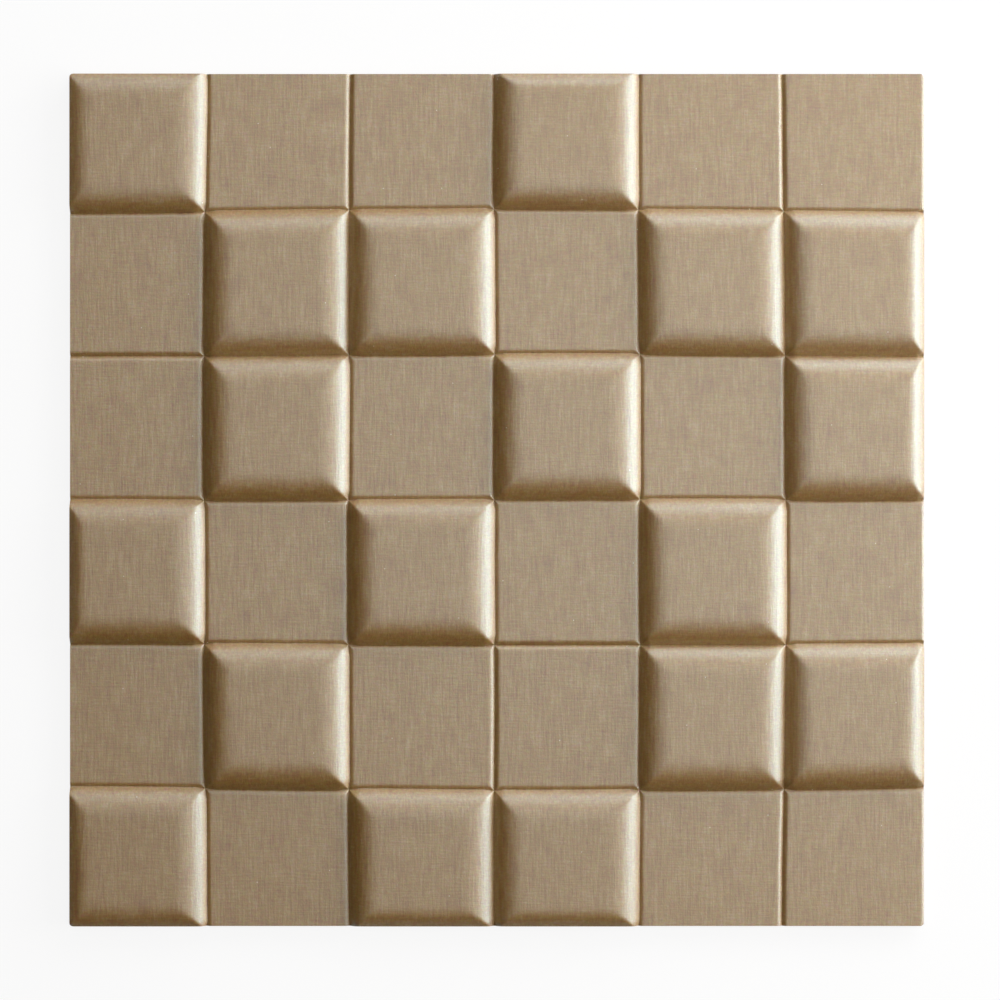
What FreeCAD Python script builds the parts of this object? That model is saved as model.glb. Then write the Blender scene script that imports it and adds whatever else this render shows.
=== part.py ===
import FreeCAD, Part
import math
import os
import Sketcher

# A decorative wall tile, moulded in one piece: square cushions with curved bevels stand among
# lower flats, and a pressed groove runs between all of them. It lies on its back, as it would on
# a floor. The origin is the centre of the back, +Z comes out of the face, and +Y is the tile's
# top edge when it hangs on a wall. Lengths are in millimetres.

sizes = {
    "cell_pitch": 50.88,  # from groove to groove, both ways
    "trim_left": 3.7,  # what the cut to size takes off the outer cells, on each edge
    "trim_right": 1.58,
    "trim_top": 3.18,
    "trim_bottom": 2.8,
    "corner_radius": 1.2,  # the tile's four upright corners
    "cushion_height": 9.0,  # from the back to a cushion's level crown
    "bevel_width": 10.5,  # a cushion's bevel, seen from the front
    "bevel_drop": 4.2,  # how far the bevel falls from the crown to the groove
    "roll_width": 5.3,  # the bevel's inner part, where it leaves the level crown
    "roll_radius": 19.5,  # and the radius there: towards the groove the bevel turns tighter
    "bevel_run_on": 1.5,  # how far the bevel's foot runs on into the next cell
    "flat_height": 5.17,  # from the back to the face of a flat
    "groove_depth": 1.07,  # below the face of a flat
    "flank_width": 1.16,  # from the groove's middle to the line where the flank meets the face
    "shoulder_radius": 2.15,  # which rounds that line
}

# The face as it hangs, top row first: C is a raised cushion, F is a flat.
layout = [
    "CFFCFF",
    "FCCFCC",
    "FCFCFC",
    "CFCFCF",
    "FCFFCC",
    "CFCCFF",
]
rows = len(layout)
columns = len(layout[0])

back, right_wall, right_foot, first_arc = range(4)  # how a section's outline begins
start, finish = range(1, 3)  # the ends of a line or an arc
x_axis, y_axis = range(-1, -3, -1)  # a sketch's own axes
origin = (x_axis, start)

doc = FreeCAD.newDocument("WallPanelTile")
sheet = doc.addObject("Spreadsheet::Sheet", "Sizes")
for row, (alias, value) in enumerate(sizes.items(), start=1):
    sheet.set(f"A{row}", alias)
    sheet.set(f"B{row}", str(value))
    sheet.setAlias(f"B{row}", alias)
doc.recompute()


def close_outline(sketch, count, smooth):
    """Joins an outline's pieces, each one's end to the next one's start. A piece in smooth runs on
    into the next without a corner."""
    for piece in range(count):
        kind = "Tangent" if piece in smooth else "Coincident"
        following = (piece + 1) % count
        sketch.addConstraint(Sketcher.Constraint(kind, piece, finish, following, start))


def measure(sketch, name, value, formula, kind, *places):
    """Adds a named dimension to a sketch and ties it to the sheet."""
    index = sketch.addConstraint(Sketcher.Constraint(kind, *places, value))
    sketch.renameConstraint(index, name)
    sketch.setExpression(f"Constraints.{name}", formula)


def bind(sketch, name, kind, *places):
    """The same, for a dimension that is one of the driving sizes."""
    measure(sketch, name, sizes[name], f"Sizes.{name}", kind, *places)


def cell_section(name, half_foot, half_top, height, turns):
    """A cell's section, standing on XZ: a level top that turns down through arcs into a straight
    foot on both sides. Each of the turns is an arc's radius and its angle, from the top outwards.
    The numbers only draw the section, and its dimensions are tied on afterwards."""
    sketch = doc.addObject("Sketcher::SketchObject", name)
    sketch.Placement.Rotation = FreeCAD.Rotation(FreeCAD.Vector(1, 0, 0), 90)
    heading = 0
    ends = [(half_top, height)]
    middles = []
    for radius, turn in turns:
        x, z = ends[-1]
        for part, places in ((turn / 2, middles), (turn, ends)):
            out = radius * (math.sin(heading + part) - math.sin(heading))
            down = radius * (math.cos(heading) - math.cos(heading + part))
            places.append((x + out, z - down))
        heading += turn
    x, z = ends[-1]
    foot_height = z - (half_foot - x) * math.tan(heading)
    right_half = [(half_foot, 0), (half_foot, foot_height), *reversed(ends)]
    outline = right_half + [(-x, z) for x, z in reversed(right_half)]
    corners = [FreeCAD.Vector(x, z, 0) for x, z in outline]
    top = first_arc + len(turns)
    for piece, corner in enumerate(corners):
        rank = abs(piece - top) - 1
        if 0 <= rank < len(turns):
            x, z = middles[rank]
            middle = FreeCAD.Vector(x if piece < top else -x, z, 0)
            sketch.addGeometry(Part.Arc(corners[piece - 1], middle, corner))
        else:
            sketch.addGeometry(Part.LineSegment(corners[piece - 1], corner))
    close_outline(sketch, len(corners), range(right_foot, top + len(turns)))
    sketch.addConstraint(Sketcher.Constraint("Horizontal", back))
    sketch.addConstraint(Sketcher.Constraint("Vertical", right_wall))
    sketch.addConstraint(Sketcher.Constraint("Symmetric", back, start, back, finish, *origin))
    for right in range(right_foot, top + 1):
        left = len(corners) - right + 1
        sketch.addConstraint(Sketcher.Constraint("Symmetric", right, start, left, start, y_axis))
    return sketch, top


def cushion_section():
    """The bevel rolls off the level crown in a wide arc and turns down to the groove in a tighter
    one. Its foot runs on at the same slope, so that it meets a neighbouring flat a little beyond
    the groove's middle."""
    half_pitch = sizes["cell_pitch"] / 2
    width, drop = sizes["bevel_width"], sizes["bevel_drop"]
    roll_width, roll_radius = sizes["roll_width"], sizes["roll_radius"]
    roll = math.asin(roll_width / roll_radius)
    rest_width = width - roll_width
    rest_drop = drop - roll_radius * (1 - math.cos(roll))
    tuck = 2 * (math.atan2(rest_drop, rest_width) - roll)
    tuck_radius = math.hypot(rest_width, rest_drop) / (2 * math.sin(tuck / 2))
    sketch, top = cell_section(
        "CushionSection",
        half_pitch + sizes["bevel_run_on"],
        half_pitch - width,
        sizes["cushion_height"],
        [(roll_radius, roll), (tuck_radius, tuck)],
    )
    tuck_arc, roll_arc = first_arc, first_arc + 1
    left_foot = 2 * top - right_foot
    bind(sketch, "cell_pitch", "DistanceX", left_foot, start, tuck_arc, start)
    bind(sketch, "bevel_width", "DistanceX", top, start, tuck_arc, start)
    bind(sketch, "bevel_drop", "DistanceY", tuck_arc, start, top, start)
    bind(sketch, "roll_width", "DistanceX", top, start, roll_arc, start)
    bind(sketch, "roll_radius", "Radius", roll_arc)
    bind(sketch, "bevel_run_on", "DistanceX", tuck_arc, start, right_foot, start)
    bind(sketch, "cushion_height", "DistanceY", back, finish, top, start)
    return sketch


def flat_section():
    """The face turns over a round shoulder into a straight flank, down to the groove. A marked
    corner is where the two would meet without the round."""
    half_pitch = sizes["cell_pitch"] / 2
    width, radius = sizes["flank_width"], sizes["shoulder_radius"]
    height = sizes["flat_height"]
    slope = math.atan2(sizes["groove_depth"], width)
    rounded = radius * math.tan(slope / 2)
    half_top = half_pitch - width - rounded
    sketch, top = cell_section("FlatSection", half_pitch, half_top, height, [(radius, slope)])
    corner = sketch.addGeometry(Part.Point(FreeCAD.Vector(half_pitch - width, height, 0)), True)
    for line in (top, right_foot):
        sketch.addConstraint(Sketcher.Constraint("PointOnObject", corner, start, line))
    bind(sketch, "cell_pitch", "DistanceX", back, start, back, finish)
    bind(sketch, "flank_width", "DistanceX", corner, start, right_foot, start)
    bind(sketch, "groove_depth", "DistanceY", right_foot, start, top, start)
    bind(sketch, "shoulder_radius", "Radius", first_arc)
    bind(sketch, "flat_height", "DistanceY", back, finish, top, start)
    return sketch


def mitred_cell(name, section, length):
    """The same section drawn out along Y and along X: what they share is a square block whose
    edges meet in mitres at its corners."""
    bars = []
    for way, turned in (("Along", 0), ("Across", 90)):
        bar = doc.addObject("Part::Extrusion", f"{name}{way}")
        bar.Base = section
        bar.DirMode = "Normal"
        bar.Symmetric = True
        bar.Solid = True
        bar.setExpression("LengthFwd", length)
        bar.Placement.Rotation = FreeCAD.Rotation(FreeCAD.Vector(0, 0, 1), turned)
        bars.append(bar)
    cell = doc.addObject("Part::Common", name)
    cell.Base, cell.Tool = bars
    return cell


def lay_cells(kinds):
    """One copy of a cushion or a flat for each letter of the layout."""
    cells = []
    for row, letters in enumerate(layout):
        for column, letter in enumerate(letters):
            cell = doc.addObject("App::Link", f"Cell{row}{column}")
            cell.LinkedObject = kinds[letter]
            cell.LinkTransform = True
            right = column + 0.5 - columns / 2
            up = rows / 2 - row - 0.5
            cell.setExpression(
                "Placement.Base.x",
                f"{right} * Sizes.cell_pitch - (Sizes.trim_left - Sizes.trim_right) / 2",
            )
            cell.setExpression(
                "Placement.Base.y",
                f"{up} * Sizes.cell_pitch + (Sizes.trim_top - Sizes.trim_bottom) / 2",
            )
            cells.append(cell)
    return cells


def cut_outline():
    """The rectangle that the tile is cut to, with rounded corners, drawn on its back."""
    sketch = doc.addObject("Sketcher::SketchObject", "CutOutline")
    pitch, radius = sizes["cell_pitch"], sizes["corner_radius"]
    width = columns * pitch - sizes["trim_left"] - sizes["trim_right"]
    length = rows * pitch - sizes["trim_top"] - sizes["trim_bottom"]
    reach_x, reach_y = width / 2 - radius, length / 2 - radius
    centres = [(reach_x, -reach_y), (reach_x, reach_y), (-reach_x, reach_y), (-reach_x, -reach_y)]
    outward = [(0, -radius), (radius, 0), (0, radius), (-radius, 0)]
    for side, (x, y) in enumerate(outward):
        line_ends = [
            FreeCAD.Vector(centre_x + x, centre_y + y, 0)
            for centre_x, centre_y in (centres[side - 1], centres[side])
        ]
        ring = Part.Circle(FreeCAD.Vector(*centres[side], 0), FreeCAD.Vector(0, 0, 1), radius)
        arc_end = side * math.pi / 2
        sketch.addGeometry(Part.LineSegment(*line_ends))
        sketch.addGeometry(Part.ArcOfCircle(ring, arc_end - math.pi / 2, arc_end))
    bottom, first_corner, right, second_corner, upper, third_corner, left = range(7)
    close_outline(sketch, 8, range(8))
    for line in (bottom, upper):
        sketch.addConstraint(Sketcher.Constraint("Horizontal", line))
    for line in (right, left):
        sketch.addConstraint(Sketcher.Constraint("Vertical", line))
    for corner in (second_corner, third_corner, left + 1):
        sketch.addConstraint(Sketcher.Constraint("Equal", first_corner, corner))
    sketch.addConstraint(Sketcher.Constraint("Symmetric", bottom, start, upper, start, *origin))
    bind(sketch, "corner_radius", "Radius", first_corner)
    width_rule = f"{columns} * Sizes.cell_pitch - Sizes.trim_left - Sizes.trim_right"
    length_rule = f"{rows} * Sizes.cell_pitch - Sizes.trim_top - Sizes.trim_bottom"
    measure(sketch, "width", width, width_rule, "DistanceX", left, start, right, start)
    measure(sketch, "length", length, length_rule, "DistanceY", bottom, start, upper, start)
    return sketch


cushion_length = "Sizes.cell_pitch + 2 * Sizes.bevel_run_on"
kinds = {
    "C": mitred_cell("Cushion", cushion_section(), cushion_length),
    "F": mitred_cell("Flat", flat_section(), "Sizes.cell_pitch"),
}
face = doc.addObject("Part::MultiFuse", "Face")
face.Shapes = lay_cells(kinds)
cut = doc.addObject("Part::Extrusion", "Cut")
cut.Base = cut_outline()
cut.DirMode = "Normal"
cut.Solid = True
cut.setExpression("LengthFwd", "Sizes.cushion_height")
tile = doc.addObject("Part::Common", "WallPanelTile")
tile.Base = face
tile.Tool = cut
tile.Refine = True
tile.Label = "wall_panel_tile"
doc.recompute()

for item in doc.Objects:
    if "Invalid" in item.State or "Error" in item.State:
        raise RuntimeError(f"{item.Label} failed: {item.State}")
for sketch in doc.findObjects("Sketcher::SketchObject"):
    if sketch.solve() != 0:
        raise RuntimeError(f"{sketch.Label} doesn't solve")
if tile.Shape.isNull() or not tile.Shape.isValid() or len(tile.Shape.Solids) != 1:
    raise RuntimeError(f"{tile.Label} isn't one sound solid")

os.makedirs("parts", exist_ok=True)
tile.Shape.exportStep(f"parts/{tile.Label}.step")
box = tile.Shape.BoundBox
print(f"{tile.Label}: {box.XLength:.2f} x {box.YLength:.2f} x {box.ZLength:.2f} mm")
print(f"volume {tile.Shape.Volume / 1e6:.4f} litres, {len(tile.Shape.Faces)} faces")
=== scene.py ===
import math
import bpy
from mathutils import Euler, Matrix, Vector


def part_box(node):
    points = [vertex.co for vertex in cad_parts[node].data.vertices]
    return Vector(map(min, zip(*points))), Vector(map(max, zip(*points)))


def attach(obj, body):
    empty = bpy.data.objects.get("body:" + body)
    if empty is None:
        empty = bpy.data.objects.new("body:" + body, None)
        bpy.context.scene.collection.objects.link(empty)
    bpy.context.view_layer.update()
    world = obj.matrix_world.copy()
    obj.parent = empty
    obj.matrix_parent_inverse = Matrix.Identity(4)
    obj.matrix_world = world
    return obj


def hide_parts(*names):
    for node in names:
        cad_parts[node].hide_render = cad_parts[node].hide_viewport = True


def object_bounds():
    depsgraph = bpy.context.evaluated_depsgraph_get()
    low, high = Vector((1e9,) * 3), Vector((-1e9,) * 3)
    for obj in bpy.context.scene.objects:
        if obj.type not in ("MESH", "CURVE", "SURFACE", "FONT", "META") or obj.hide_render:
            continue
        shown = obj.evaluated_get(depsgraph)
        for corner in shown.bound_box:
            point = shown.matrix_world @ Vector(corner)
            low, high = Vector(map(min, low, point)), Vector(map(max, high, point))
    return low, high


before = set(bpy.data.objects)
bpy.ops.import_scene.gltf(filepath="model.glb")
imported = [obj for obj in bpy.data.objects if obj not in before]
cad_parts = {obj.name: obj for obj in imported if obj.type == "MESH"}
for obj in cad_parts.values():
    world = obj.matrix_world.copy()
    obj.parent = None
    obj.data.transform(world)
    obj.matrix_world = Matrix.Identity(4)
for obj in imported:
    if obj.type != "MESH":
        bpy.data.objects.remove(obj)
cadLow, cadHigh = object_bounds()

mm = 0.001

# The moulded face, in millimetres.
tileSizes = {
    "columns": 6,
    "rows": 6,
    "columnPitch": 50.56,  # groove to groove
    "rowPitch": 50.47,
    "trimLeft": 2.63,  # cut off the outer cells
    "trimBottom": 1.76,
    "cornerRadius": 1.2,
    "cushionHeight": 9.0,
    "bevelWidth": 10.5,
    "bevelFoot": 0.0,  # the straight part of a bevel beside the groove
    "bevelDrop": 4.1,
    "bevelCurl": 0.4,  # above 0 a bevel turns down later and tighter
    "flatHeight": 5.17,
    "flankWidth": 2.0,
    "flankFoot": 0.46,
    "shoulderDrop": 0.64,
    "shoulderCurl": 0.1,
    "mitreSoftness": 0.08,  # how round the mitres come out of the mould
    "grooveSoftness": 0.2,
    "cornerPinch": 0.8,  # where four cells meet, the stock is pressed deeper
    "pinchReach": 4.0,
    "grooveShadeReach": 1.6,  # how far from a groove the finish carries painted groove shade and a duller shine
    "lineBow": 1.7,  # the grooves bow outwards between the corners
    "lineWander": 0.8,  # and none runs quite straight in soft stock
    "wanderLength": 90.0,
    "edgeFade": 8.0,  # both die out towards the cut edges
    "linesPerCell": 46,
    "lineCrowding": 0.12,  # draws the mesh lines together beside the grooves
    "mergeReach": 0.001,
    "sharpAngle": 50.0,  # degrees
    "seed": 119,
}

# The photograph's frame: 1000 px square, the tile 854 px wide and a little left of the middle.
shot = {
    "imagePixels": 1000,
    "tilePixels": 854,
    "tileCentreX": 497.0,
    "tileCentreY": 500.0,
    "distance": 1.25,  # metres
    "sensor": 36.0,
}


def hexColour(code):
    channels = [int(code[i:i + 2], 16) / 255 for i in (0, 2, 4)]
    linear = [c / 12.92 if c <= 0.04045 else ((c + 0.055) / 1.055) ** 2.4 for c in channels]
    return (*linear, 1.0)


# Adds one node, sets it up, links or fills its inputs, and gives back its first output.
def addNode(tree, kind, inputs=(), **settings):
    node = tree.nodes.new(kind)
    for name, value in settings.items():
        setattr(node, name, value)
    places = inputs.items() if isinstance(inputs, dict) else enumerate(inputs)
    for place, value in places:
        if isinstance(value, bpy.types.NodeSocket):
            tree.links.new(value, node.inputs[place])
        elif value is not None:
            node.inputs[place].default_value = value
    return node.outputs[0] if len(node.outputs) else None


# A node group with named inputs and outputs, and the sockets that its inputs come from, by name.
def newTree(name, inputs, outputs):
    tree = bpy.data.node_groups.new(name, "GeometryNodeTree")
    for label, kind in inputs.items():
        tree.interface.new_socket(name=label, in_out="INPUT", socket_type=kind)
    for label, kind in outputs.items():
        tree.interface.new_socket(name=label, in_out="OUTPUT", socket_type=kind)
    given = tree.nodes.new("NodeGroupInput").outputs
    return tree, {label: given[label] for label in inputs}


# How high a cell's section stands at a distance inside its edge: a level top, a curve that turns
# down tighter and tighter, and a straight foot that runs on past the edge.
def makeSectionGroup():
    number = "NodeSocketFloat"
    labels = ("Distance", "Top", "Width", "Foot", "Drop", "Curl")
    tree, given = newTree("cellSection", dict.fromkeys(labels, number), {"Height": number})
    mathNode = "ShaderNodeMath"
    span = addNode(tree, mathNode, (given["Width"], given["Foot"]), operation="SUBTRACT")
    into = addNode(tree, mathNode, (given["Width"], given["Distance"]), operation="SUBTRACT")
    into = addNode(tree, mathNode, (into, 0.0), operation="MAXIMUM")
    into = addNode(tree, mathNode, (into, span), operation="MINIMUM")
    share = addNode(tree, mathNode, (into, span), operation="DIVIDE")
    square = addNode(tree, mathNode, (share, share), operation="MULTIPLY")
    fourth = addNode(tree, mathNode, (square, square), operation="MULTIPLY")
    extra = addNode(tree, mathNode, (fourth, square), operation="SUBTRACT")
    roll = addNode(tree, mathNode, (extra, given["Curl"], square), operation="MULTIPLY_ADD")
    fall = addNode(tree, mathNode, (roll, given["Drop"]), operation="MULTIPLY")
    height = addNode(tree, mathNode, (given["Top"], fall), operation="SUBTRACT")
    slope = addNode(tree, mathNode, (given["Curl"], 2.0, 2.0), operation="MULTIPLY_ADD")
    slope = addNode(tree, mathNode, (slope, given["Drop"]), operation="MULTIPLY")
    slope = addNode(tree, mathNode, (slope, span), operation="DIVIDE")
    past = addNode(tree, mathNode, (given["Distance"], given["Foot"]), operation="SUBTRACT")
    past = addNode(tree, mathNode, (past, 0.0), operation="MINIMUM")
    height = addNode(tree, mathNode, (past, slope, height), operation="MULTIPLY_ADD")
    addNode(tree, "NodeGroupOutput", {"Height": height})
    return tree


# The tile, from one point per cell that says whether the cell is raised. A sheet of mesh lines is
# crowded towards the grooves, cut off at the tile's edges and lifted to the highest of the four
# nearest cells. Then its edges are walled down to a flat back.
def makeFaceTree():
    geometry = "NodeSocketGeometry"
    inputs = {"Cells": geometry}
    inputs.update(dict.fromkeys(("Columns", "Rows", "Lines per Cell"), "NodeSocketInt"))
    inputs.update(dict.fromkeys((
        "Column Pitch", "Row Pitch", "Grid Corner X", "Grid Corner Y",
        "Half Width", "Half Length", "Corner Radius", "Crowding", "Merge Reach",
        "Cushion Height", "Bevel Width", "Bevel Foot", "Bevel Drop", "Bevel Curl",
        "Flat Height", "Flank Width", "Flank Foot", "Shoulder Drop", "Shoulder Curl",
        "Mitre Softness", "Groove Softness", "Corner Pinch", "Pinch Reach", "Press Reach",
        "Line Bow", "Line Wander", "Wander Scale", "Edge Fade", "Seed",
    ), "NodeSocketFloat"))
    inputs.update(dict.fromkeys(("Facing", "Backing"), "NodeSocketMaterial"))
    tree, given = newTree("pressedFace", inputs, {"Tile": geometry})
    mathNode, vector = "ShaderNodeMath", "ShaderNodeVectorMath"
    combine, separate = "ShaderNodeCombineXYZ", "ShaderNodeSeparateXYZ"
    ramp, setPlace = "ShaderNodeMapRange", "GeometryNodeSetPosition"
    one, half, two = (1.0, 1.0, 0.0), (0.5, 0.5, 0.0), (2.0, 2.0, 0.0)
    minusOne = (-1.0, -1.0, 0.0)
    aboveNothing = 1e-9  # keeps a length that is divided by from being zero
    backUpward = -0.9  # a face that looks down more than this is the back

    # Mesh lines, counted in cells: whole numbers are grooves.
    counts = addNode(tree, combine, (given["Columns"], given["Rows"], 0.0))
    lines = [
        addNode(tree, mathNode, (count, given["Lines per Cell"], 1.0), operation="MULTIPLY_ADD")
        for count in (given["Columns"], given["Rows"])
    ]
    sheet = addNode(tree, "GeometryNodeMeshGrid", (1.0, 1.0, *lines))
    place = addNode(tree, "GeometryNodeInputPosition")
    place = addNode(tree, vector, (place, half), operation="ADD")
    place = addNode(tree, vector, (place, counts), operation="MULTIPLY")
    nudge = (1e-4, 1e-4, 0.0)  # a line on a groove counts as in the cell that it begins
    cell = addNode(tree, vector, (place, nudge), operation="ADD")
    cell = addNode(tree, vector, (cell,), operation="FLOOR")
    inCell = addNode(tree, vector, (place, cell), operation="SUBTRACT")
    inCell = addNode(tree, vector, (inCell, two, minusOne), operation="MULTIPLY_ADD")
    side = addNode(tree, vector, (inCell,), operation="SIGN")
    share = addNode(tree, vector, (inCell,), operation="ABSOLUTE")
    share = addNode(tree, vector, (one, share), operation="SUBTRACT")
    crowding = addNode(tree, combine, (given["Crowding"], given["Crowding"], 0.0))
    spread = addNode(tree, vector, (one, crowding), operation="SUBTRACT")
    stretch = addNode(tree, vector, (share, share), operation="MULTIPLY")
    stretch = addNode(tree, vector, (stretch, spread, crowding), operation="MULTIPLY_ADD")
    share = addNode(tree, vector, (share, stretch), operation="MULTIPLY")
    share = addNode(tree, vector, (one, share), operation="SUBTRACT")
    local = addNode(tree, vector, (side, share), operation="MULTIPLY")
    local = addNode(tree, vector, (local, half, half), operation="MULTIPLY_ADD")
    place = addNode(tree, vector, (cell, local), operation="ADD")
    corner = addNode(tree, combine, (given["Grid Corner X"], given["Grid Corner Y"], 0.0))
    pitches = addNode(tree, combine, (given["Column Pitch"], given["Row Pitch"], 0.0))
    place = addNode(tree, vector, (place, pitches, corner), operation="MULTIPLY_ADD")
    halves = addNode(tree, combine, (given["Half Width"], given["Half Length"], 0.0))
    otherHalves = addNode(tree, vector, (halves, minusOne), operation="MULTIPLY")
    place = addNode(tree, vector, (place, halves), operation="MINIMUM")
    place = addNode(tree, vector, (place, otherHalves), operation="MAXIMUM")
    sheet = addNode(tree, setPlace, {"Geometry": sheet, "Position": place})

    # Along X and along Y: the cell that a point is in and the one beside it, its distance
    # inside its own cell, and both kinds of section at that distance.
    section = makeSectionGroup()
    kinds = {
        "cushion": ("Cushion Height", "Bevel Width", "Bevel Foot", "Bevel Drop", "Bevel Curl"),
        "flat": ("Flat Height", "Flank Width", "Flank Foot", "Shoulder Drop", "Shoulder Curl"),
    }
    here = addNode(tree, "GeometryNodeInputPosition")
    inGrid = addNode(tree, vector, (here, corner), operation="SUBTRACT")
    inGrid = addNode(tree, vector, (inGrid, pitches), operation="DIVIDE")
    inGrid = addNode(tree, separate, (inGrid,)).node.outputs
    insides, places, sections = [], [], []
    ways = (("Columns", "Column Pitch"), ("Rows", "Row Pitch"))
    for along, (count, pitch) in zip(inGrid, ways):
        last = addNode(tree, mathNode, (given[count], 1.0), operation="SUBTRACT")
        own = addNode(tree, mathNode, (along,), operation="FLOOR")
        low = addNode(tree, mathNode, (along, own), operation="SUBTRACT")
        high = addNode(tree, mathNode, (1.0, low), operation="SUBTRACT")
        near = addNode(tree, mathNode, (low, high), operation="MINIMUM")
        inside = addNode(tree, mathNode, (near, given[pitch]), operation="MULTIPLY")
        outside = addNode(tree, mathNode, (inside, -1.0), operation="MULTIPLY")
        step = addNode(tree, mathNode, (low, high), operation="SUBTRACT")
        step = addNode(tree, mathNode, (step,), operation="SIGN")
        beside = addNode(tree, mathNode, (own, step), operation="ADD")
        insides.append(inside)
        places.append([
            addNode(tree, "ShaderNodeClamp", {"Value": index, "Min": 0.0, "Max": last})
            for index in (own, beside)
        ])
        sections.append([
            {
                kind: addNode(tree, "GeometryNodeGroup", (
                    distance, *(given[label] for label in labels),
                ), node_tree=section)
                for kind, labels in kinds.items()
            }
            for distance in (inside, outside)
        ])

    # Near a crossing of grooves the stock is pressed deeper.
    crossing = addNode(tree, combine, (*insides, 0.0))
    crossing = addNode(tree, vector, (crossing,), operation="LENGTH").node.outputs["Value"]
    pinch = addNode(tree, ramp, {
        "Value": crossing, "From Max": given["Pinch Reach"],
        "To Min": given["Corner Pinch"], "To Max": 0.0,
    }, interpolation_type="SMOOTHSTEP")

    # A point stands as high as the highest of its own cell and the three beside it.
    raised = addNode(tree, "GeometryNodeInputNamedAttribute", {"Name": "raised"})
    height = None
    for x, y in ((0, 0), (1, 0), (0, 1), (1, 1)):
        index = (places[1][y], given["Columns"], places[0][x])
        index = addNode(tree, mathNode, index, operation="MULTIPLY_ADD")
        isCushion = addNode(tree, "GeometryNodeSampleIndex", {
            "Geometry": given["Cells"], "Value": raised, "Index": index,
        })
        block = {
            kind: addNode(tree, mathNode, (
                sections[0][x][kind], sections[1][y][kind], given["Mitre Softness"],
            ), operation="SMOOTH_MIN")
            for kind in kinds
        }
        block["cushion"] = addNode(tree, mathNode, (block["cushion"], pinch), operation="SUBTRACT")
        top = addNode(tree, "ShaderNodeMix", (isCushion, None, block["flat"], block["cushion"]))
        if height is not None:
            top = (height, top, given["Groove Softness"])
            top = addNode(tree, mathNode, top, operation="SMOOTH_MAX")
        height = top
    lift = addNode(tree, combine, (0.0, 0.0, height))
    sheet = addNode(tree, setPlace, {"Geometry": sheet, "Offset": lift})

    # How near a point is to a groove, for the painted groove shade and the duller shine: 1 in its
    # middle, 0 beyond its reach.
    nearest = addNode(tree, mathNode, (*insides, given["Groove Softness"]), operation="SMOOTH_MIN")
    grooveShadeMask = addNode(tree, ramp, {
        "Value": nearest, "From Max": given["Press Reach"], "To Min": 1.0, "To Max": 0.0,
    }, interpolation_type="SMOOTHSTEP")
    sheet = addNode(tree, "GeometryNodeStoreNamedAttribute", {
        "Geometry": sheet, "Name": "grooveShadeMask", "Value": grooveShadeMask,
    }, data_type="FLOAT", domain="POINT")

    # The grooves bow and wander a little, less and less towards the cut edges.
    here = addNode(tree, "GeometryNodeInputPosition")
    size = addNode(tree, vector, (here,), operation="ABSOLUTE")
    margins = addNode(tree, vector, (halves, size), operation="SUBTRACT")
    margins = addNode(tree, separate, (margins,)).node.outputs
    margin = addNode(tree, mathNode, (margins[0], margins[1]), operation="MINIMUM")
    freedom = addNode(tree, ramp, {
        "Value": margin, "From Max": given["Edge Fade"],
    }, interpolation_type="SMOOTHSTEP")
    outward = addNode(tree, vector, (here, halves), operation="DIVIDE")
    between = addNode(tree, vector, (outward, outward), operation="MULTIPLY")
    between = addNode(tree, vector, (one, between), operation="SUBTRACT")
    between = addNode(tree, separate, (between,)).node.outputs
    between = addNode(tree, combine, (between[1], between[0], 0.0))
    bow = addNode(tree, vector, (outward, between), operation="MULTIPLY")
    bow = addNode(tree, vector, {0: bow, "Scale": given["Line Bow"]}, operation="SCALE")
    wander = addNode(tree, "ShaderNodeTexNoise", {
        "Vector": here, "W": given["Seed"], "Scale": given["Wander Scale"], "Detail": 1.0,
    }, noise_dimensions="4D").node.outputs["Color"]
    wander = addNode(tree, vector, (wander, half), operation="SUBTRACT")
    wander = addNode(tree, vector, (wander, two), operation="MULTIPLY")
    wander = addNode(tree, vector, {0: wander, "Scale": given["Line Wander"]}, operation="SCALE")
    drift = addNode(tree, vector, (bow, wander), operation="ADD")
    drift = addNode(tree, vector, {0: drift, "Scale": freedom}, operation="SCALE")
    sheet = addNode(tree, setPlace, {"Geometry": sheet, "Offset": drift})

    # The tile's upright corners are rounded: a square corner is drawn in to a quarter circle.
    here = addNode(tree, "GeometryNodeInputPosition")
    radii = addNode(tree, combine, (given["Corner Radius"], given["Corner Radius"], 0.0))
    straight = addNode(tree, vector, (halves, radii), operation="SUBTRACT")
    size = addNode(tree, vector, (here,), operation="ABSOLUTE")
    beyond = addNode(tree, vector, (size, straight), operation="SUBTRACT")
    beyond = addNode(tree, vector, (beyond, (0.0, 0.0, 0.0)), operation="MAXIMUM")
    beyond = addNode(tree, vector, (beyond, one), operation="MULTIPLY")
    reach = addNode(tree, vector, (beyond,), operation="LENGTH").node.outputs["Value"]
    reach = addNode(tree, mathNode, (reach, aboveNothing), operation="MAXIMUM")
    parts = addNode(tree, separate, (beyond,)).node.outputs
    longest = addNode(tree, mathNode, (parts[0], parts[1]), operation="MAXIMUM")
    drawIn = addNode(tree, mathNode, (longest, reach), operation="DIVIDE")
    drawn = addNode(tree, vector, {0: beyond, "Scale": drawIn}, operation="SCALE")
    kept = addNode(tree, vector, (size, straight), operation="MINIMUM")
    drawn = addNode(tree, vector, (kept, drawn), operation="ADD")
    side = addNode(tree, vector, (here,), operation="SIGN")
    drawn = addNode(tree, vector, (drawn, side), operation="MULTIPLY")
    drawn = addNode(tree, separate, (drawn,)).node.outputs
    level = addNode(tree, separate, (here,)).node.outputs[2]
    drawn = addNode(tree, combine, (drawn[0], drawn[1], level))
    sheet = addNode(tree, setPlace, {"Geometry": sheet, "Position": drawn})
    sheet = addNode(tree, "GeometryNodeMergeByDistance", {
        "Geometry": sheet, "Distance": given["Merge Reach"],
    })

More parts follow.
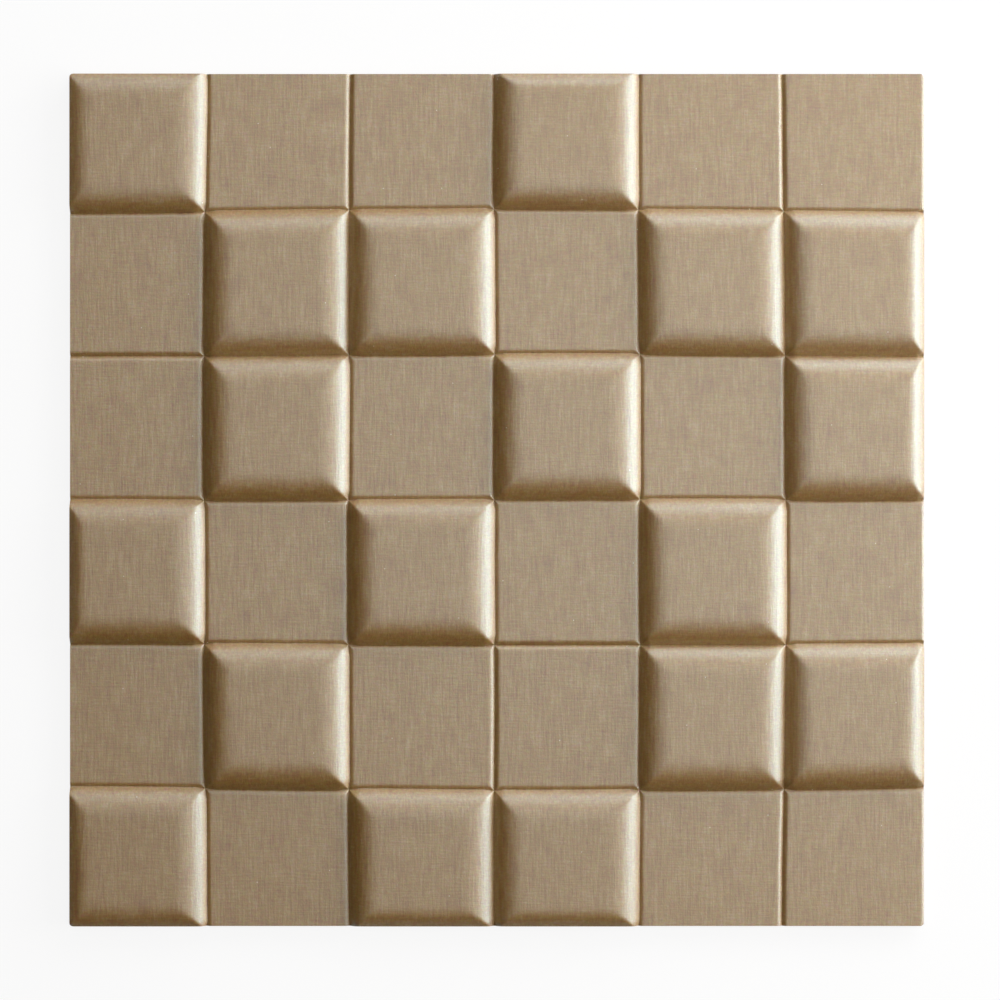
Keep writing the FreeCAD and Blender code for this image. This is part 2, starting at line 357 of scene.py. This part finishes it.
    # Walls down from the rim, whose edges have one face only, and the back.
    faceCount = addNode(tree, "GeometryNodeInputMeshEdgeNeighbors")
    isRim = addNode(tree, "FunctionNodeCompare", {
        2: faceCount, 3: 1,
    }, data_type="INT", operation="EQUAL")
    walled = addNode(tree, "GeometryNodeExtrudeMesh", {
        "Mesh": sheet, "Selection": isRim, "Offset Scale": 0.0,
    }, mode="EDGES")
    foot = walled.node.outputs["Top"]
    here = addNode(tree, "GeometryNodeInputPosition")
    ground = addNode(tree, vector, (here, one), operation="MULTIPLY")
    walled = addNode(tree, setPlace, {"Geometry": walled, "Selection": foot, "Position": ground})
    rim = addNode(tree, "GeometryNodeMeshToCurve", {"Mesh": walled, "Selection": foot})
    back = addNode(tree, "GeometryNodeFillCurve", {"Curve": rim}, mode="TRIANGLES")
    back = addNode(tree, "GeometryNodeFlipFaces", {"Mesh": back})
    tile = addNode(tree, "GeometryNodeJoinGeometry", (walled,))
    tree.links.new(back, tile.node.inputs[0])
    tile = addNode(tree, "GeometryNodeMergeByDistance", {
        "Geometry": tile, "Distance": given["Merge Reach"],
    })
    tile = addNode(tree, "GeometryNodeSetShadeSmooth", {"Geometry": tile, "Shade Smooth": True})
    tile = addNode(tree, "GeometryNodeRealizeInstances", {"Geometry": tile})
    tile = addNode(tree, "GeometryNodeSetMaterial", {"Geometry": tile, "Material": given["Facing"]})
    upward = addNode(tree, "GeometryNodeInputNormal")
    upward = addNode(tree, separate, (upward,)).node.outputs[2]
    isBack = addNode(tree, mathNode, (upward, backUpward), operation="LESS_THAN")
    tile = addNode(tree, "GeometryNodeSetMaterial", {
        "Geometry": tile, "Selection": isBack, "Material": given["Backing"],
    })
    addNode(tree, "NodeGroupOutput", {"Tile": tile})
    return tree


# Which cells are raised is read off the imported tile: a ray is dropped on each cell's middle.
def makeCellPoints(node, cornerX, cornerY):
    size = tileSizes
    middles = [
        Vector((
            cornerX + (column + 0.5) * size["columnPitch"] * mm,
            cornerY + (row + 0.5) * size["rowPitch"] * mm,
            0.0,
        ))
        for row in range(size["rows"])
        for column in range(size["columns"])
    ]
    between = (size["cushionHeight"] + size["flatHeight"]) / 2 * mm
    above = Vector((0, 0, 2 * cadHigh.z))
    down = Vector((0, 0, -1))
    heights = [node.ray_cast(middle + above, down)[1].z for middle in middles]
    mesh = bpy.data.meshes.new("cellPoints")
    mesh.from_pydata(middles, [], [])
    raised = mesh.attributes.new("raised", "FLOAT", "POINT")
    raised.data.foreach_set("value", [float(height > between) for height in heights])
    points = bpy.data.objects.new("cellPoints", mesh)
    bpy.context.scene.collection.objects.link(points)
    return points


def makeTile(facing, backing):
    low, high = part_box("wall_panel_tile")
    size = tileSizes
    cornerX = low.x - size["trimLeft"] * mm
    cornerY = low.y - size["trimBottom"] * mm
    points = makeCellPoints(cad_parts["wall_panel_tile"], cornerX, cornerY)
    tree = makeFaceTree()
    values = {
        "Columns": size["columns"],
        "Rows": size["rows"],
        "Lines per Cell": size["linesPerCell"],
        "Column Pitch": size["columnPitch"] * mm,
        "Row Pitch": size["rowPitch"] * mm,
        "Grid Corner X": cornerX,
        "Grid Corner Y": cornerY,
        "Half Width": high.x,
        "Half Length": high.y,
        "Corner Radius": size["cornerRadius"] * mm,
        "Crowding": size["lineCrowding"],
        "Merge Reach": size["mergeReach"] * mm,
        "Cushion Height": size["cushionHeight"] * mm,
        "Bevel Width": size["bevelWidth"] * mm,
        "Bevel Foot": size["bevelFoot"] * mm,
        "Bevel Drop": size["bevelDrop"] * mm,
        "Bevel Curl": size["bevelCurl"],
        "Flat Height": size["flatHeight"] * mm,
        "Flank Width": size["flankWidth"] * mm,
        "Flank Foot": size["flankFoot"] * mm,
        "Shoulder Drop": size["shoulderDrop"] * mm,
        "Shoulder Curl": size["shoulderCurl"],
        "Mitre Softness": size["mitreSoftness"] * mm,
        "Groove Softness": size["grooveSoftness"] * mm,
        "Corner Pinch": size["cornerPinch"] * mm,
        "Pinch Reach": size["pinchReach"] * mm,
        "Press Reach": size["grooveShadeReach"] * mm,
        "Line Bow": size["lineBow"] * mm,
        "Line Wander": size["lineWander"] * mm,
        "Wander Scale": 1 / (size["wanderLength"] * mm),
        "Edge Fade": size["edgeFade"] * mm,
        "Seed": float(size["seed"]),
        "Facing": facing,
        "Backing": backing,
    }
    modifier = points.modifiers.new("pressedFace", "NODES")
    modifier.node_group = tree
    for item in tree.interface.items_tree:
        if item.name in values:
            modifier[item.identifier] = values[item.name]
    evaluated = points.evaluated_get(bpy.context.evaluated_depsgraph_get())
    mesh = bpy.data.meshes.new_from_object(evaluated)
    points.modifiers.remove(modifier)
    bpy.data.objects.remove(points)
    mesh.name = "moulded_tile"
    mesh.set_sharp_from_angle(angle=math.radians(size["sharpAngle"]))
    tile = bpy.data.objects.new("moulded_tile", mesh)
    bpy.context.scene.collection.objects.link(tile)
    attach(tile, "root")
    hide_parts("wall_panel_tile")
    print(f"tile: {len(mesh.vertices)} points, {len(mesh.polygons)} faces")
    return tile


# Leatherette with a pearl champagne lacquer, embossed with a linen grain: fine upright threads
# that thicken and thin, weaker cross threads, and a satin shine that goes silver where it faces
# the light. Mica in the lacquer gives a faint rose and green bloom and a few specks, painted
# bright as their glint. Along the grooves the shine is painted browner as groove shade, and is
# duller.
facingLook = {
    "lacquer": "9f6f0d",
    "pearl": "cceff8",
    "ior": 2.5,  # mica flakes are far denser than plain varnish
    "shine": 0.69,
    "roughness": 0.5,
    "uprightThread": (0.85, 9.0),  # millimetres wide and long
    "crossThread": (7.0, 0.6),
    "fleck": (0.5, 0.8),
    "slub": (6.0, 9.0),
    "shares": {"uprightThread": 1.05, "crossThread": 0.6, "fleck": 0.5, "slub": 0.6},
    "relief": 0.06,
    "threadTone": 0.09,
    "bloom": (1.15, 0.6),
    "bloomTone": 0.067,
    "speckSpacing": 22.0,
    "speckWidth": 0.5,
    "speckShare": 0.4,  # how many of the places hold one
    # the painted glint of the mica specks
    "glintSpeckColour": "f6f2ea",
    "grooveShadeMetal": 0.15,  # how much of the shine takes the lacquer's own colour there, as painted groove shade
    "pressRoughness": 0.55,
    "seed": 4.0,
}


def newMaterial(name):
    material = bpy.data.materials.new(name)
    material.use_nodes = True
    material.node_tree.nodes.clear()
    return material, material.node_tree


def champagneLeatherette():
    look = facingLook
    material, tree = newMaterial("champagneLeatherette")
    mathNode, mixNode, noise = "ShaderNodeMath", "ShaderNodeMix", "ShaderNodeTexNoise"
    ramp = "ShaderNodeMapRange"
    place = addNode(tree, "ShaderNodeTexCoord").node.outputs["Object"]

    # A noise drawn out to a thread's width and length.
    def grain(name, **settings):
        width, length = look[name]
        scale = (1 / (width * mm), 1 / (length * mm), 1 / mm)
        stretched = addNode(tree, "ShaderNodeMapping", {"Vector": place, "Scale": scale})
        return addNode(tree, noise, {
            "Vector": stretched, "W": look["seed"], "Scale": 1.0, **settings,
        }, noise_dimensions="4D")

    cloth = 0.5
    for name, share in look["shares"].items():
        thread = grain(name, Detail=1.5, Roughness=0.6)
        thread = addNode(tree, mathNode, (thread, 0.5), operation="SUBTRACT")
        cloth = addNode(tree, mathNode, (thread, share, cloth), operation="MULTIPLY_ADD")
    colour = addNode(tree, mixNode, {
        0: look["threadTone"], 6: hexColour(look["lacquer"]), 7: cloth,
    }, data_type="RGBA", blend_type="LINEAR_LIGHT").node.outputs[2]
    bloom = grain("bloom", Detail=0.5).node.outputs["Color"]
    colour = addNode(tree, mixNode, {
        0: look["bloomTone"], 6: colour, 7: bloom,
    }, data_type="RGBA", blend_type="LINEAR_LIGHT").node.outputs[2]

    # Specks of mica lie at some of the scattered places, painted pale as the glint they give.
    spots = addNode(tree, "ShaderNodeTexVoronoi", {
        "Vector": place, "Scale": 1 / (look["speckSpacing"] * mm),
    }, voronoi_dimensions="2D").node.outputs
    chance = addNode(tree, "ShaderNodeSeparateColor", (spots["Color"],))
    chosen = addNode(tree, mathNode, (chance, look["speckShare"]), operation="LESS_THAN")
    radius = look["speckWidth"] / 2 / look["speckSpacing"]
    paintedGlint = addNode(tree, ramp, {
        "Value": spots["Distance"], "From Max": radius, "To Min": 1.0, "To Max": 0.0,
    }, interpolation_type="SMOOTHSTEP")
    paintedGlint = addNode(tree, mathNode, (paintedGlint, chosen), operation="MULTIPLY")
    colour = addNode(tree, mixNode, {
        0: paintedGlint, 6: colour, 7: hexColour(look["glintSpeckColour"]),
    }, data_type="RGBA").node.outputs[2]

    # Painted shade along the grooves: there part of the shine takes the lacquer's brown, and the
    # finish is duller.
    grooveShadeMask = addNode(tree, "ShaderNodeAttribute", attribute_name="grooveShadeMask").node.outputs["Fac"]
    shadeMetallic = addNode(tree, mathNode, (grooveShadeMask, look["grooveShadeMetal"]), operation="MULTIPLY")
    roughness = addNode(tree, ramp, {
        "Value": grooveShadeMask, "To Min": look["roughness"], "To Max": look["pressRoughness"],
    })
    bump = addNode(tree, "ShaderNodeBump", {
        "Strength": 1.0, "Distance": look["relief"] * mm, "Height": cloth,
    })
    shader = addNode(tree, "ShaderNodeBsdfPrincipled", {
        "Base Color": colour, "Metallic": shadeMetallic, "IOR": look["ior"],
        "Specular IOR Level": look["shine"],
        "Specular Tint": hexColour(look["pearl"]), "Roughness": roughness, "Normal": bump,
    })
    addNode(tree, "ShaderNodeOutputMaterial", {"Surface": shader})
    return material


# The bare back of the pressed stock, which takes the glue: matt and a little uneven.
backingLook = {
    "stock": "b9ada0",
    "blotch": 9.0,  # millimetres
    "tone": 0.1,
    "roughness": 0.85,
}


def bareBacking():
    look = backingLook
    material, tree = newMaterial("bareBacking")
    place = addNode(tree, "ShaderNodeTexCoord").node.outputs["Object"]
    blotch = addNode(tree, "ShaderNodeTexNoise", {
        "Vector": place, "Scale": 1 / (look["blotch"] * mm), "Detail": 6.0,
    })
    darkest = 1 - look["tone"] / 2
    tone = (blotch, look["tone"], darkest)
    tone = addNode(tree, "ShaderNodeMath", tone, operation="MULTIPLY_ADD")
    colour = addNode(tree, "ShaderNodeMix", {
        0: 1.0, 6: hexColour(look["stock"]), 7: tone,
    }, data_type="RGBA", blend_type="MULTIPLY").node.outputs[2]
    shader = addNode(tree, "ShaderNodeBsdfPrincipled", {
        "Base Color": colour, "Roughness": look["roughness"],
    })
    addNode(tree, "ShaderNodeOutputMaterial", {"Surface": shader})
    return material


# The studio: a white floor and a wall of softboxes, strongest low down on the right.
studio = {
    "floorSize": 30.0,
    "floorColour": "f4f3f1",
    "floorShadow": 0.12,  # how much of the real shading the camera sees on the floor
    "air": "000000",  # all the light comes from the softboxes
    "softboxSize": 0.5,
    "softboxDistance": 1.2,
    "softboxes": {  # azimuth and elevation in degrees, and watts
        "lowRight": (0, 15, 5.3),
        "lowRightRear": (30, 15, 7.5),
        "lowRear": (60, 15, 5.0),
        "rightFront": (-30, 32, 1.3),
        "right": (0, 32, 5.2),
        "rightRear": (60, 32, 2.4),
        "rear": (90, 32, 1.9),
        "rearLeft": (110, 50, 1.5),
        "highRight": (0, 68, 1.3),
        "overhead": (0, 90, 1.6),
    },
}


def makeFloor():
    reach = studio["floorSize"] / 2
    corners = [(-reach, -reach, 0), (reach, -reach, 0), (reach, reach, 0), (-reach, reach, 0)]
    mesh = bpy.data.meshes.new("floor")
    mesh.from_pydata(corners, [], [(0, 1, 2, 3)])
    floor = bpy.data.objects.new("floor", mesh)
    bpy.context.scene.collection.objects.link(floor)
    material, tree = newMaterial("studioFloor")
    mathNode = "ShaderNodeMath"
    paths = addNode(tree, "ShaderNodeLightPath").node.outputs
    seen = (paths["Is Camera Ray"], paths["Is Glossy Ray"])
    seen = addNode(tree, mathNode, seen, operation="MAXIMUM")
    seen = addNode(tree, mathNode, (seen, paths["Is Transmission Ray"]), operation="MAXIMUM")
    share = addNode(tree, mathNode, (seen, 1 - studio["floorShadow"]), operation="MULTIPLY")
    paint = addNode(tree, "ShaderNodeBsdfDiffuse", {"Color": hexColour(studio["floorColour"])})
    glow = addNode(tree, "ShaderNodeEmission", {"Color": (1, 1, 1, 1), "Strength": 1.0})
    mixed = addNode(tree, "ShaderNodeMixShader", (share, paint, glow))
    addNode(tree, "ShaderNodeOutputMaterial", {"Surface": mixed})
    mesh.materials.append(material)


def makeSoftbox(name, azimuth, elevation, power):
    light = bpy.data.lights.new(name, "AREA")
    light.size = studio["softboxSize"]
    light.energy = power
    lamp = bpy.data.objects.new(name, light)
    turn = Euler((0, -math.radians(elevation), math.radians(azimuth)))
    towards = Vector((1, 0, 0))
    towards.rotate(turn)
    lamp.location = towards * studio["softboxDistance"]
    lamp.visible_camera = False
    lamp.rotation_euler = towards.to_track_quat("Z", "Y").to_euler()
    bpy.context.scene.collection.objects.link(lamp)
    return lamp


def makeStudio():
    makeFloor()
    for name, (azimuth, elevation, power) in studio["softboxes"].items():
        makeSoftbox(name, azimuth, elevation, power)
    world = bpy.data.worlds.new("studioAir")
    world.use_nodes = True
    world.node_tree.nodes.clear()
    air = addNode(world.node_tree, "ShaderNodeBackground", {
        "Color": hexColour(studio["air"]), "Strength": 1.0,
    })
    addNode(world.node_tree, "ShaderNodeOutputWorld", {"Surface": air})
    bpy.context.scene.world = world
    bpy.context.scene.view_settings.view_transform = "Standard"


def makeCamera():
    pixel = (cadHigh.x - cadLow.x) / shot["tilePixels"]
    faceHeight = tileSizes["flatHeight"] * mm
    data = bpy.data.cameras.new("camera")
    data.sensor_width = shot["sensor"]
    data.lens = shot["sensor"] * shot["distance"] / (pixel * shot["imagePixels"])
    camera = bpy.data.objects.new("camera", data)
    middle = shot["imagePixels"] / 2
    camera.location = (
        (middle - shot["tileCentreX"]) * pixel,
        (shot["tileCentreY"] - middle) * pixel,
        faceHeight + shot["distance"],
    )
    bpy.context.scene.collection.objects.link(camera)
    bpy.context.scene.camera = camera


makeCamera()
facing = champagneLeatherette()
print("materials made")
makeTile(facing, bareBacking())
makeStudio()
print("studio made")
